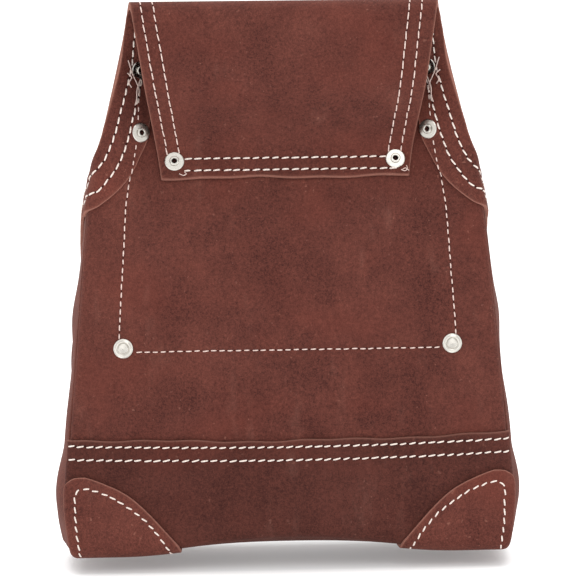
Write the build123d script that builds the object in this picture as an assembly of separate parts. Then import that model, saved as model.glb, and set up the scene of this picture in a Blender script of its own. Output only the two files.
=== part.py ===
"""Leather electrician's tool pouch: a belt loop folded from the back panel, two tool pockets
riveted inside it, and a main pouch with gussets, a scooped mouth and a wrapped base.

Frame: millimetres, +Z up, origin at the centre of the base on the surface that it stands on.
The belt side faces -Y and the open pouch faces +Y. +X is to the right seen from the belt side.
"""

from build123d import *
from math import cos, pi, sin
import os

# Leather
LEATHER = 2.0  # thickness of every leather piece
GAP = 0.1  # room left between two plies, which the real seams press shut

# Overall shape
DEPTH = 76.0  # back panel's outside to front panel's outside, at the base
FOLD_TOP_Z = 300.0  # top of the fold over the belt
FOLD_HALF = 82.0  # half width at the fold
SHOULDER_HALF = 107.6  # half width where the mouth edge leaves the back panel
SHOULDER_Z = 190.0
HIP_HALF = 121.0  # half width at the top of the corner patches
HIP_Z = 55.0
FOOT_HALF = 121.5  # half width at the floor
FRONT_TOP_Z = 165.0  # mouth of the main pouch at the front
GUSSET_TOP_Z = 200.0  # mouth of the main pouch where it meets the back panel
FRONT_BELLY = 12.0  # how far the front panel stands out in its middle
GUSSET_BULGE = 8.0  # how far a gusset stands out past the panels' edges

# Belt loop, with its heights measured down from the fold
FOLD_RADIUS = 7.0  # middle of the leather
LOOP_END_Z = FOLD_TOP_Z - 94.0  # raw end, sewn down on the back panel
LOOP_SEAM_TOP_Z = FOLD_TOP_Z - 82.0  # above this the loop leaves the back panel
LOOP_FREE_Z = FOLD_TOP_Z - 38.0  # above this the loop hangs straight down from the fold
LOOP_END_HALF = 66.7
DENT = 12.0  # how far the back panel is pushed in behind the loop
DENT_FLAT_HALF = 70.0
DENT_EDGE_HALF = 97.0
DENT_FOOT_Z = FOLD_TOP_Z - 120.0
DENT_FULL_Z = FOLD_TOP_Z - 72.0
DENT_HEAD_Z = FOLD_TOP_Z - 38.0
DENT_END_Z = FOLD_TOP_Z - 13.0

# Strips along the mouth, the base wrap and its corner patches
STRIP = 17.5  # width of the mouth strips on the gussets and the front panel
EDGE_STRIP = 23.0  # width of the mouth strips on the back panel
EDGE_STRIP_FOOT_Z = 184.5
EDGE_STRIP_END_Z = FOLD_TOP_Z - 68.0  # inside the belt loop
WRAP_TOP_Z = 65.6
WRAP_SAG = 3.0
BASE_ARCH = 3.5  # rise of the base in its middle
ARCH_HALF = 60.0
BEND = 2.5  # inside radius of the wrap's bends
PATCH_FOOT_X = 60.0
PATCH_KNEE = (85.0, 31.0)
PATCH_SHOULDER = (112.0, 44.0)
PATCH_EDGE_Z = 36.0

# Tool pockets inside the back panel
POCKET_FOOT_Z = 108.5
POCKET_FOOT_HALF = 95.5
POCKET_TOP_HALF = 83.0  # at the large pocket's mouth
LARGE_TOP_Z = FOLD_TOP_Z - 30.0
SMALL_TOP_Z = FOLD_TOP_Z - 64.0
LARGE_BULGE = 16.0
SMALL_BULGE = 12.0  # further than the large pocket
POCKET_FLANGE = 12.0  # flat edge that the seam and the rivets go through
POCKET_RISE = 70.0  # height over which a pocket opens out

# Rivets
RIVET_HALF = 5.25  # radius of the heads and washers
SHANK_RADIUS = 1.9
BORE_RADIUS = 1.35
ROLL_RADIUS = 2.6
BUTTON_RADIUS = 2.85
WASHER = 0.7
HEAD = 0.9
HOLE_CLEARANCE = 0.1
SEAT_REACH = 4.0
LOOP_RIVET = (60.0, FOLD_TOP_Z - 85.4)
UPPER_RIVET = (78.4, FOLD_TOP_Z - 35.0)
MID_RIVET = (79.0, FOLD_TOP_Z - 69.0)
LOWER_RIVET = (89.2, 114.6)

PLY = LEATHER + GAP
ONE_OUT = LEATHER / 2  # from the middle of a leather piece to its face
BACK_Y = -DEPTH / 2
FRONT_Y = DEPTH / 2
FOLD_Z = FOLD_TOP_Z - FOLD_RADIUS - LEATHER / 2
WRAP_Z = LEATHER + GAP  # the wrap stands on the corner patches
PANEL_FOOT_Z = WRAP_Z + BASE_ARCH + LEATHER + BEND
GUSSET_FOOT_Z = WRAP_Z + LEATHER + GAP


def ramp(value, start, end):
    """0 before start, 1 after end, and a smooth sine-squared rise between them."""
    share = min(max((value - start) / (end - start), 0.0), 1.0)
    return sin(pi / 2 * share) ** 2


def mix(low, high, share):
    return low + (high - low) * share


def half_width(z):
    """Half width of the back and front panels at height z: three straight tapers."""
    corners = [(0.0, FOOT_HALF), (HIP_Z, HIP_HALF), (SHOULDER_Z, SHOULDER_HALF), (FOLD_TOP_Z, FOLD_HALF)]
    for (low_z, low), (high_z, high) in zip(corners, corners[1:]):
        if z <= high_z:
            break
    return mix(low, high, (z - low_z) / (high_z - low_z))


def loop_half(z):
    """Half width of the belt loop, which narrows downwards from the fold."""
    return mix(LOOP_END_HALF, FOLD_HALF, (z - LOOP_END_Z) / (FOLD_TOP_Z - LOOP_END_Z))


def dent(x, z):
    """Depth of the shallow trough that the belt loop presses into the back panel."""
    across = 1 - ramp(abs(x), DENT_FLAT_HALF, DENT_EDGE_HALF)
    upward = ramp(z, DENT_FOOT_Z, DENT_FULL_Z) * (1 - ramp(z, DENT_HEAD_Z, DENT_END_Z))
    return DENT * across * upward


def panel_y(x, z):
    """Outer face of the back panel, towards -Y."""
    return BACK_Y + dent(x, z)


def front_y(x, z):
    """Outer face of the front panel, which bellies out between its straight edges."""
    share = min(abs(x) / half_width(z), 1.0)
    return FRONT_Y + FRONT_BELLY * (1 - share**2) ** 2 * ramp(z, WRAP_TOP_Z, FRONT_TOP_Z)


def pocket_half(z):
    return mix(POCKET_FOOT_HALF, POCKET_TOP_HALF, (z - POCKET_FOOT_Z) / (LARGE_TOP_Z - POCKET_FOOT_Z))


def pocket_bulge(x, z):
    """Share of its full depth to which a tool pocket stands open at a place."""
    across = ramp(pocket_half(z) - abs(x), POCKET_FLANGE, POCKET_TOP_HALF / 2)
    return across * ramp(z, POCKET_FOOT_Z + POCKET_FLANGE / 2, POCKET_FOOT_Z + POCKET_RISE)


def large_pocket_y(x, z):
    """Face of the large pocket that is turned to the back panel."""
    return panel_y(x, z) + PLY + LARGE_BULGE * pocket_bulge(x, z)


def small_pocket_y(x, z):
    """Face of the small pocket that is turned to the large one."""
    return large_pocket_y(x, z) + PLY + SMALL_BULGE * pocket_bulge(x, z)


def mouth_z(y):
    """Height of the scooped mouth along a gusset."""
    share = min(max((FRONT_Y - y) / DEPTH, 0.0), 1.0)
    return mix(FRONT_TOP_Z, GUSSET_TOP_Z, share**1.5)


def gusset_x(y, z):
    """Outer face of the right gusset, flush with the panels' edges and bulged between them."""
    share = min(abs(y) / (FRONT_Y - LEATHER), 1.0)
    return half_width(z) + GUSSET_BULGE * (1 - share**2) ** 2 * (1 - 0.5 * z / GUSSET_TOP_Z)


def steps(start, end, count):
    return [mix(start, end, i / count) for i in range(count + 1)]


def both_sides(values):
    """Stations on both sides of the middle, from their distances, nearest first."""
    return [-value for value in reversed(values)] + list(values)


def ruled(sections):
    """Solid between closed flat outlines, one after another, each a list of points."""
    faces = [make_face(Polyline(*points, close=True)) for points in sections]
    return loft(faces, ruled=True)


def cross_sheet(face_y, stations, heights, near, far):
    """Leather sheet across the pouch, from near to far in Y of a face given as y(x, z)."""
    sections = []
    for x in stations:
        front = [(x, face_y(x, z) + near, z) for z in heights]
        back = [(x, face_y(x, z) + far, z) for z in reversed(heights)]
        sections.append(front + back)
    return ruled(sections)


def side_sheet(side, stations, low, near, far):
    """Leather sheet along a gusset, from near to far outside its face, up to the scooped mouth."""
    sections = []
    for y in stations:
        heights = steps(low(y), mouth_z(y), 8)
        inner = [(side * (gusset_x(y, z) + near), y, z) for z in heights]
        outer = [(side * (gusset_x(y, z) + far), y, z) for z in reversed(heights)]
        sections.append(inner + outer)
    return ruled(sections)


def outline_prism(points):
    """Prism through the whole depth of an outline given as (x, z) points."""
    face = make_face(Polyline(*[(x, -DEPTH, z) for x, z in points], close=True))
    return extrude(face, dir=(0, 1, 0), amount=2 * DEPTH)


def panel_outline(low, high):
    """Outline of a panel between two heights."""
    heights = [low, *[z for z in (HIP_Z, SHOULDER_Z) if low < z < high], high]
    right = [(half_width(z), z) for z in heights]
    return outline_prism([*right, *[(-x, z) for x, z in reversed(right)]])


def save(name, shape):
    shape.label = name
    export_step(shape, f"parts/{name}.step")


# Rivets: each is turned about its own axis, which stands square on the leather


def rivet_plane(place, side):
    """Plane on the back panel's outer face at a rivet, with its axis pointing out of the belt side."""
    x, z = side * place[0], place[1]
    step = 1.0
    slope_x = (panel_y(x + step, z) - panel_y(x - step, z)) / (2 * step)
    slope_z = (panel_y(x, z + step) - panel_y(x, z - step)) / (2 * step)
    return Plane(origin=(x, panel_y(x, z), z), z_dir=(slope_x, -1, slope_z))


def turned(profile, plane):
    """Solid of revolution of a closed (radius, height) outline about the plane's axis."""
    outline = Polyline(*[(radius, 0, height) for radius, height in profile], close=True)
    return plane.location * revolve(make_face(outline), Axis.Z, 360)


def tube_rivet(inner, outer, plane):
    """Tubular rivet with a flat head at -inner and its open end rolled over at +outer."""
    back = -inner - GAP
    lip = outer + WASHER + 2 * GAP
    profile = [
        (0, back - HEAD),
        (RIVET_HALF - 0.5, back - HEAD),
        (RIVET_HALF, back - HEAD / 2),
        (RIVET_HALF, back),
        (SHANK_RADIUS, back),
        (SHANK_RADIUS, lip),
        (ROLL_RADIUS, lip + 0.15),
        (ROLL_RADIUS, lip + 0.6),
        (ROLL_RADIUS - 0.35, lip + 0.95),
        (BORE_RADIUS + 0.3, lip + 0.95),
        (BORE_RADIUS, lip + 0.6),
        (BORE_RADIUS, back),
        (0, back),
    ]
    return turned(profile, plane)


def button_rivet(inner, outer, plane):
    """Rivet with a ringed button head at +outer and its end rolled over at -inner."""
    face = outer + GAP
    lip = -inner - WASHER - 2 * GAP
    profile = [
        (0, face + 1.0),
        (0.5, face + 1.15),
        (BUTTON_RADIUS - 0.5, face + 1.3),
        (BUTTON_RADIUS, face + 0.9),
        (BUTTON_RADIUS + 0.3, face + 0.45),
        (RIVET_HALF - 1.3, face + 0.75),
        (RIVET_HALF - 0.6, face + 0.45),
        (RIVET_HALF - 0.25, face + 0.6),
        (RIVET_HALF, face + 0.4),
        (RIVET_HALF, face),
        (SHANK_RADIUS, face),
        (SHANK_RADIUS, lip),
        (ROLL_RADIUS, lip - 0.15),
        (ROLL_RADIUS, lip - 0.6),
        (BORE_RADIUS + 0.3, lip - 0.95),
        (BORE_RADIUS, lip - 0.6),
        (BORE_RADIUS, face),
        (0, face),
    ]
    return turned(profile, plane)


def washer(seat, plane):
    """Thin washer that starts at a seat height; a negative seat faces the other way."""
    way = 1 if seat > 0 else -1
    bore = SHANK_RADIUS + HOLE_CLEARANCE / 2
    near = seat + way * GAP
    profile = [
        (bore, near),
        (RIVET_HALF, near),
        (RIVET_HALF, near + way * WASHER * 0.6),
        (RIVET_HALF - 0.4, near + way * WASHER),
        (bore, near + way * WASHER),
    ]
    return turned(profile, plane)


def rivet_holes(inner, outer, plane):
    """Drill for the shank and a pressed flat seat under the head and the washer."""
    reach = inner + outer + 2 * SEAT_REACH
    drill = Solid.make_cylinder(SHANK_RADIUS + HOLE_CLEARANCE, reach, plane.offset(-inner - SEAT_REACH))
    outer_seat = Solid.make_cylinder(RIVET_HALF + HOLE_CLEARANCE, SEAT_REACH, plane.offset(outer))
    inner_seat = Solid.make_cylinder(RIVET_HALF + HOLE_CLEARANCE, SEAT_REACH, plane.offset(-inner - SEAT_REACH))
    return [drill, outer_seat, inner_seat]


# name: place, plies out of the belt side, plies into the pouch, and which way the button faces
RIVETS = {
    "loop": (LOOP_RIVET, 1, 0, "tube"),
    "upper": (UPPER_RIVET, 1, 1, "tube"),
    "mid": (MID_RIVET, 1, 2, "tube"),
    "lower": (LOWER_RIVET, 0, 2, "button"),
}


def fasteners():
    """All rivets and washers by node name, and the holes that they need."""
    nodes, holes = {}, []
    for name, (place, plies_out, plies_in, style) in RIVETS.items():
        rivets, washers = [], []
        outer = plies_out * PLY
        inner = LEATHER + plies_in * PLY
        for side in (-1, 1):
            plane = rivet_plane(place, side)
            holes += rivet_holes(inner, outer, plane)
            if style == "tube":
                rivets.append(tube_rivet(inner, outer, plane))
                washers.append(washer(outer, plane))
            else:
                rivets.append(button_rivet(inner, outer, plane))
                washers.append(washer(-inner, plane))
        nodes[f"{name}_rivets"] = Compound(rivets)
        nodes[f"{name}_rivet_washers"] = Compound(washers)
    return nodes, holes


def pierced(shape, holes):
    return shape.solid().cut(*holes).solid()


# Leather pieces

DENT_STATIONS = both_sides(steps(DENT_FLAT_HALF, DENT_EDGE_HALF, 6))
PANEL_STATIONS = [-FOOT_HALF - 1, *DENT_STATIONS, FOOT_HALF + 1]
LOFT_HEIGHTS = [*steps(DENT_FOOT_Z, DENT_FULL_Z, 7), *steps(DENT_HEAD_Z, DENT_END_Z, 5)]


def fold_profile(outer_offset, end_z):
    """Middle line of the fold and the loop as (y, z) points, moved towards the tunnel by an offset."""
    line = []
    radius = FOLD_RADIUS - outer_offset
    centre_y = BACK_Y + LEATHER / 2 - FOLD_RADIUS
    for turn in steps(0, pi, 12):
        line.append((centre_y + radius * cos(turn), FOLD_Z + radius * sin(turn)))
    hanging_y = centre_y - FOLD_RADIUS
    for z in steps(LOOP_FREE_Z, end_z, max(2, round((LOOP_FREE_Z - end_z) / 5))):
        sewn_y = panel_y(0, z) - GAP - LEATHER / 2
        y = mix(sewn_y, hanging_y, ramp(z, LOOP_SEAM_TOP_Z, LOOP_FREE_Z))
        line.append((y + outer_offset, z))
    return line


def folded_sheet(near, far, end_z):
    """Leather over the fold and down the loop, between two offsets towards the tunnel."""
    profile = fold_profile(near, end_z) + fold_profile(far, end_z)[::-1]
    outline = Polyline(*[(-DEPTH * 2, y, z) for y, z in profile], close=True)
    return extrude(make_face(outline), dir=(1, 0, 0), amount=DEPTH * 4)


def loop_outline():
    """Outline of the belt loop and the fold."""
    right = [(loop_half(z), z) for z in (LOOP_END_Z - 1, FOLD_TOP_Z + 1)]
    return outline_prism([*right, *[(-x, z) for x, z in reversed(right)]])


def back_panel():
    """Back panel, fold and belt loop in one piece of leather."""
    heights = [PANEL_FOOT_Z, *LOFT_HEIGHTS, FOLD_Z]
    panel = cross_sheet(panel_y, PANEL_STATIONS, heights, 0, LEATHER)
    panel = panel & panel_outline(PANEL_FOOT_Z, FOLD_Z)
    loop = folded_sheet(-ONE_OUT, ONE_OUT, LOOP_END_Z) & loop_outline()
    return panel + loop


def edge_strip(side):
    """Strip on the belt side of the panel's tapered edge, over the fold and down inside the loop."""
    heights = [EDGE_STRIP_FOOT_Z, *[z for z in LOFT_HEIGHTS if z > EDGE_STRIP_FOOT_Z], FOLD_Z]
    flat = cross_sheet(panel_y, PANEL_STATIONS, heights, -PLY, -GAP)
    outline = [
        (side * half_width(EDGE_STRIP_FOOT_Z), EDGE_STRIP_FOOT_Z),
        (side * half_width(SHOULDER_Z), SHOULDER_Z),
        (side * half_width(FOLD_Z), FOLD_Z),
        (side * (half_width(FOLD_Z) - EDGE_STRIP), FOLD_Z),
        (side * (half_width(GUSSET_TOP_Z + STRIP) - EDGE_STRIP), GUSSET_TOP_Z + STRIP),
        (side * (half_width(EDGE_STRIP_FOOT_Z) - 1), EDGE_STRIP_FOOT_Z),
    ]
    flat = flat & outline_prism(outline)
    folded = folded_sheet(ONE_OUT + GAP, ONE_OUT + PLY, EDGE_STRIP_END_Z)
    ends = [(loop_half(z), z) for z in (EDGE_STRIP_END_Z - 1, FOLD_TOP_Z + 1)]
    inner = [(side * (x - EDGE_STRIP), z) for x, z in reversed(ends)]
    band = outline_prism([*[(side * x, z) for x, z in ends], *inner])
    return flat + (folded & band)


def gusset(side):
    stations = both_sides(steps(0, FRONT_Y - PLY, 6)[1:])
    return side_sheet(side, stations, lambda y: GUSSET_FOOT_Z, -LEATHER, 0)


def gusset_strip(side):
    """Strip round the outside of a gusset's mouth, from the back panel's edge to the front panel's edge."""
    stations = both_sides([*steps(0, FRONT_Y - PLY, 6)[1:], FRONT_Y])
    return side_sheet(side, stations, lambda y: mouth_z(y) - STRIP, GAP, PLY)


def front_panel():
    stations = both_sides(steps(0, SHOULDER_HALF, 8)[1:])
    stations = [-FOOT_HALF - 1, *stations, FOOT_HALF + 1]
    heights = [PANEL_FOOT_Z, *steps(WRAP_TOP_Z, FRONT_TOP_Z, 6)]
    sheet = cross_sheet(front_y, stations, heights, -LEATHER, 0)
    return sheet & panel_outline(PANEL_FOOT_Z, FRONT_TOP_Z)


def front_mouth_strip():
    stations = both_sides(steps(0, SHOULDER_HALF, 8)[1:])
    stations = [-FOOT_HALF - 1, *stations, FOOT_HALF + 1]
    sheet = cross_sheet(front_y, stations, steps(FRONT_TOP_Z - STRIP, FRONT_TOP_Z, 2), GAP, PLY)
    return sheet & panel_outline(FRONT_TOP_Z - STRIP, FRONT_TOP_Z)


def pocket(face_y, top):
    """Tool pocket inside the back panel, open at its top."""
    stations = [-POCKET_FOOT_HALF, *DENT_STATIONS[:6], *both_sides(steps(0, DENT_FLAT_HALF, 6)[1:])]
    stations += [*DENT_STATIONS[-6:], POCKET_FOOT_HALF]
    stations = sorted({round(x, 3) for x in stations if abs(x) <= POCKET_FOOT_HALF})
    rise = steps(POCKET_FOOT_Z, POCKET_FOOT_Z + POCKET_RISE, 6)
    heights = [*rise, *[z for z in LOFT_HEIGHTS if rise[-1] < z < top], top]
    sheet = cross_sheet(face_y, stations, heights, 0, LEATHER)
    right = [(pocket_half(z), z) for z in (POCKET_FOOT_Z, top)]
    return sheet & outline_prism([*right, *[(-x, z) for x, z in reversed(right)]])


def u_section(x, inside_y, foot_z, top_z, radius):
    """Closed U of leather in the plane at x: up the back, under the base and up the front."""
    outline = []
    for offset, corner in ((LEATHER, radius + LEATHER), (0, radius)):
        y = inside_y + offset
        z = foot_z + LEATHER - offset
        rows = [Line((x, -y, top_z), (x, -y, z + corner))]
        rows.append(bend(x, -y, z, corner, -1))
        rows.append(Line((x, -y + corner, z), (x, y - corner, z)))
        rows.append(bend(x, y, z, corner, 1))
        rows.append(Line((x, y, z + corner), (x, y, top_z)))
        outline.append(rows)
    outer, inner = outline
    ends = [Line((x, s * (inside_y + LEATHER), top_z), (x, s * inside_y, top_z)) for s in (-1, 1)]
    return make_face(Wire([*outer, *inner, *ends]))


def bend(x, y, z, corner, way):
    """Quarter round between a wall at y and the floor at z."""
    centre_y = y - way * corner
    slant = corner * (1 - 0.5**0.5)
    middle = (x, y - way * slant, z + slant)
    return ThreePointArc((x, y, z + corner), middle, (x, centre_y, z))


def base_wrap():
    """Wrap round the base, from the back panel under the pouch to the front panel."""
    stations = [-FOOT_HALF - 1, *steps(-ARCH_HALF, ARCH_HALF, 8), FOOT_HALF + 1]
    sections = []
    for x in stations:
        arch = BASE_ARCH * ramp(ARCH_HALF - abs(x), 0, ARCH_HALF)
        top = WRAP_TOP_Z - WRAP_SAG * (1 - (x / (FOOT_HALF + 1)) ** 2)
        sections.append(u_section(x, FRONT_Y + GAP, WRAP_Z + arch, top, BEND))
    wrap = loft(sections, ruled=True)
    return wrap & panel_outline(0, WRAP_TOP_Z + 1)


def corner_patch(side):
    """Patch saddled over a bottom corner, with an arched inner edge."""
    inside_y = FRONT_Y + LEATHER + 2 * GAP
    section = u_section(side * (PATCH_FOOT_X - 5), inside_y, 0, PATCH_SHOULDER[1] + 5, BEND + LEATHER + GAP)
    reach = HIP_HALF - PATCH_FOOT_X + 10
    saddle = extrude(section, dir=(side, 0, 0), amount=reach)

    def at(x, z):
        return (side * x, -DEPTH, z)

    edge = (half_width(PATCH_EDGE_Z), PATCH_EDGE_Z)
    inner = ThreePointArc(at(PATCH_FOOT_X, 0), at(*PATCH_KNEE), at(*PATCH_SHOULDER))
    shoulder = ThreePointArc(at(*PATCH_SHOULDER), at(edge[0] - 2.6, edge[1] + 6), at(*edge))
    outer = Line(at(*edge), at(FOOT_HALF, 0))
    foot = Line(at(FOOT_HALF, 0), at(PATCH_FOOT_X, 0))
    outline = make_face(Wire([inner, shoulder, outer, foot]))
    return saddle & extrude(outline, dir=(0, 1, 0), amount=2 * DEPTH)


os.makedirs("parts", exist_ok=True)
fastener_nodes, holes = fasteners()
save("back_panel", pierced(back_panel(), holes))
for name, side in (("left", -1), ("right", 1)):
    save(f"{name}_edge_strip", pierced(edge_strip(side), holes))
    save(f"{name}_gusset", gusset(side))
    save(f"{name}_gusset_strip", gusset_strip(side))
    save(f"{name}_corner_patch", corner_patch(side))
save("front_panel", front_panel())
save("front_mouth_strip", front_mouth_strip())
save("base_wrap", base_wrap())
save("large_inner_pocket", pierced(pocket(large_pocket_y, LARGE_TOP_Z), holes))
save("small_inner_pocket", pierced(pocket(small_pocket_y, SMALL_TOP_Z), holes))
for name, shape in fastener_nodes.items():
    save(name, shape)
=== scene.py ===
"""Looks of the leather tool pouch: every leather piece, its seams, its rivets and the studio.

Shapes are worked out in millimetres, in the frame's own axes, and scaled to metres as they are made.
"""

from math import pi, radians

import bpy
import numpy as np
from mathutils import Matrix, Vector


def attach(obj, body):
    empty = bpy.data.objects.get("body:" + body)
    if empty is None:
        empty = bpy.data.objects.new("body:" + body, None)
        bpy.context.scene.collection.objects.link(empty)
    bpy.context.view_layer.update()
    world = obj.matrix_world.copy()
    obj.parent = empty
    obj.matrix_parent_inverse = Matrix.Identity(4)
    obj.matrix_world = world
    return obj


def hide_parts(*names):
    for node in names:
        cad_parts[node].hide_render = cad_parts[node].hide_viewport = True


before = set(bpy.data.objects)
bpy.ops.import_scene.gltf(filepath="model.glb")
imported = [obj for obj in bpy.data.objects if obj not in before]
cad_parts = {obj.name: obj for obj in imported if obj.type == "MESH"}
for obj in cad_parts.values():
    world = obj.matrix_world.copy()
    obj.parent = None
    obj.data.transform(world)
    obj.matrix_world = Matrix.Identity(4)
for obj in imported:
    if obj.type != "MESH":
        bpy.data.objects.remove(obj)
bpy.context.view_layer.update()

MM = 0.001
BODY = "root"

# ---------------------------------------------------------------- sizes, in millimetres
LEATHER = 2.0
PLY = 2.1  # one leather piece on another
BACK_Y = -38.0  # outer face of the back panel
FRONT_Y = 38.0  # outer face of the front panel, at the base
FOLD_Z = 292.0  # height at which the back panel starts to turn over
FOLD_RADIUS = 7.0  # middle of the leather
FOLD_ARC = pi * FOLD_RADIUS
LOOP_END_Z = 206.0
LOOP_END_PATH = FOLD_Z + FOLD_ARC + FOLD_Z - LOOP_END_Z
PANEL_FOOT_Z = 13.5
FRONT_TOP_Z = 165.0
FRONT_STRIP = 17.5  # width of the strip along the front's mouth
GUSSET_FOOT_Z = 5.2
# height and half width of the panels, the base wrap and the loop
EDGE = [(0, 119.4), (30, 119.8), (62, 119.4), (100, 115.9), (138, 112.2), (170, 109.3), (192, 106.8),
        (224, 99.6), (262, 90.2), (FOLD_Z, 83.6)]
WRAP_EDGE = [(0, 119.4), (12, 121.2), (28, 122.9), (42, 122.4), (64, 120.6)]
LOOP_EDGE = [(LOOP_END_Z, 66.9), (FOLD_Z, 80.4)]
DENT = 12.0  # how far the loop presses the back panel in
FRAY = 0.35  # how much the reach of a raw edge varies
TURN = 3.0  # radius with which sewn edges turn in to the gussets
# the mouth's edge: distance past the back panel's edge on the leather, and path height
MOUTH_EDGE = [(0, 318), (0, 292), (0, 262), (0, 240), (0.2, 228), (1.6, 218), (5.5, 210), (12, 205),
              (21, 202), (34, 196.5), (48, 187), (62, 175), (73, 167.5), (81, 165.5)]
STRIP_WIDE, STRIP_NARROW = 22.5, 18.0
STRIP_ROWS = (5.6, 12.5)  # rows of stitches, from the mouth's edge
LOOP_END_ROWS = (216.2, 209.8)  # heights
LOOP_SIDE_ROWS = (5.1, 11.7)  # from the loop's edge
WRAP_TOP_Z = 65.6
WRAP_SAG = 2.6
WRAP_WALL = 51.0  # height of the wrap's wall above its bend
WRAP_ROWS = (3.3, 10.5)  # below the wrap's raw edge
WRAP_BEND = 5.5  # middle of the wrap's leather
WRAP_FLOOR_Z = PLY + LEATHER / 2  # middle of the wrap's leather under the pouch, over the patches
WRAP_HALF = 121.9  # half width of the wrap along its leather
# across place and height of a corner patch's inner edge and of its row of stitches
PATCH_ARC = [(60.0, 0.0), (61.6, 4.0), (69.0, 13.5), (77.0, 23.0), (85.0, 31.0), (93.0, 36.5),
             (104.0, 41.5), (111.0, 44.0)]
PATCH_ROW = [(64.2, 1.3), (66.4, 4.6), (72.4, 13.5), (79.5, 21.6), (87.6, 28.2), (96.0, 33.6),
             (104.0, 37.2), (110.5, 39.0), (114.8, 38.2), (116.6, 34.5), (116.7, 28.0), (116.3, 18.0),
             (115.2, 8.0), (114.4, 1.3)]
POCKET_FOOT_Z = 108.5
POCKET_SEAM_Z = 112.5  # row of stitches along the pockets' foot
POCKET_FOOT_HALF, POCKET_TOP_HALF = 95.5, 83.0
# lower end, upper end and plies underneath of each stretch of the pockets' side seam
POCKET_SEAM = [(119.4, 207.6, 0), (207.4, 225.6, 1), (236.6, 259.6, 1)]
POCKETS = {"large": (1, 270.0), "small": (2, 236.0)}  # plies in from the back panel, and height of the mouth

# across place and height of the open tubular rivets
LOOP_RIVET, UPPER_RIVET, MID_RIVET = (60.0, 214.6), (78.4, 265.0), (79.0, 231.0)


# ---------------------------------------------------------------- helpers on arrays
def ramp(value, start, end):
    """0 before start, 1 after end, and a sine-squared rise between them."""
    return np.sin(pi / 2 * np.clip((value - start) / (end - start), 0, 1)) ** 2


def smooth_between(value, points, reach=6.0):
    """Straight lines between (place, amount) points, rounded by a running mean of half length reach."""
    places, amounts = np.array(points, float).T
    rows = [np.interp(value + reach * k, places, amounts) for k in (-1, -0.67, -0.33, 0, 0.33, 0.67, 1)]
    return np.mean(rows, axis=0)


def curve_through(points, spacing):
    """Smooth curve through points, cardinal splines between them, resampled at an even spacing."""
    p = np.array(points, float)
    before, after = np.vstack([2 * p[0] - p[1], p[:-1]]), np.vstack([p[1:], 2 * p[-1] - p[-2]])
    slope = (after - before) / 2
    t = np.linspace(0, 1, 24, endpoint=False)[:, None]
    h = (2 * t**3 - 3 * t**2 + 1, t**3 - 2 * t**2 + t, -2 * t**3 + 3 * t**2, t**3 - t**2)
    spans = [h[0] * p[i] + h[1] * slope[i] + h[2] * p[i + 1] + h[3] * slope[i + 1] for i in range(len(p) - 1)]
    line = np.vstack([*spans, p[-1:]])
    along = np.r_[0, np.cumsum(np.linalg.norm(np.diff(line, axis=0), axis=1))]
    even = np.linspace(0, along[-1], max(3, int(round(along[-1] / spacing)) + 1))
    return np.stack([np.interp(even, along, line[:, k]) for k in range(line.shape[1])], axis=1)


def unit(vectors):
    """Vectors divided by their lengths."""
    return vectors / np.maximum(np.linalg.norm(vectors, axis=-1, keepdims=True), 1e-9)


def grid_normals(grid):
    """Unit normals of a grid of points: the row direction cross the column direction."""
    return unit(np.cross(np.gradient(grid, axis=0), np.gradient(grid, axis=1)))


def stations(start, end, spacing, places=(), reach=1.8):
    """Places from start to end, close together at both ends and round some places, even elsewhere.

    The density is 1 / spacing plus bell-shaped rises, and its running sum is cut into equal shares.
    """
    fine = np.linspace(start, end, 4000)
    density = np.full_like(fine, 1 / spacing)
    for place in (start, end, *places):
        density += (1.6 / min(spacing, 1.6)) * np.exp(-(((fine - place) / reach) ** 4))
    total = np.r_[0, np.cumsum((density[1:] + density[:-1]) / 2) * (fine[1] - fine[0])]
    return np.interp(np.linspace(0, total[-1], int(round(total[-1])) + 1), total, fine)


def offset(surface, u, v, lift):
    """Points of a surface moved along its normal, u direction cross v direction, by lift."""
    e = 0.3
    across, up = surface(u + e, v) - surface(u - e, v), surface(u, v + e) - surface(u, v - e)
    return surface(u, v) + unit(np.cross(across, up)) * np.asarray(lift)[..., None]


def furrow(distance, depth=0.28):
    """Groove that a pulled thread presses into the leather, by distance from the row of stitches."""
    return depth * np.exp(-((distance / 1.1) ** 2))


MOUTH_LENGTH = len(curve_through(MOUTH_EDGE, 1.0)) - 1.0


# ---------------------------------------------------------------- the pouch's leather surfaces
def half_width(z):
    """Half width of the panels at a height: the edge's points, with their corners rounded."""
    return smooth_between(z, EDGE)


def loop_half(z):
    """Half width of the belt loop at a height: straight from its sewn end to the fold."""
    return np.interp(z, *np.array(LOOP_EDGE).T)


def half_on_path(path):
    """Half width of the back leather: the panel's edge, then the fold's, then the loop's."""
    turn = np.clip((path - FOLD_Z) / FOLD_ARC, 0, 1)
    down = 2 * FOLD_Z + FOLD_ARC - path
    fold = half_width(np.array(FOLD_Z)) * (1 - turn) + loop_half(FOLD_Z) * turn
    return np.where(path <= FOLD_Z, half_width(path), np.where(turn < 1, fold, loop_half(down)))


def dent(x, z):
    """Trough that the loop presses into the back panel: flat in the middle, rising to the edges."""
    across = 1 - ramp(np.abs(x), 70, 97)
    return DENT * across * ramp(z, 180, 228) * (1 - ramp(z, 262, 287))


def slack(x, z, size=0.7):
    """Slow unevenness of hanging leather: a few crossed sines, zero-mean, of a given size."""
    wave = np.sin(x / 31 + 0.7) * np.cos(z / 43 + 1.1) + 0.6 * np.sin(x / 17 - z / 29 + 2.0)
    wave = wave + 0.4 * np.cos(x / 11 + z / 13)
    return size * wave / 2


def panel_y(x, z):
    """Middle of the back panel's leather: flat, plus the loop's trough, plus slack away from the edges."""
    calm = 1 - ramp(z, 150, 200) * 0.8
    return BACK_Y + LEATHER / 2 + dent(x, z) + slack(x, z) * calm * ramp(half_width(z) - np.abs(x), 4, 40)


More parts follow.
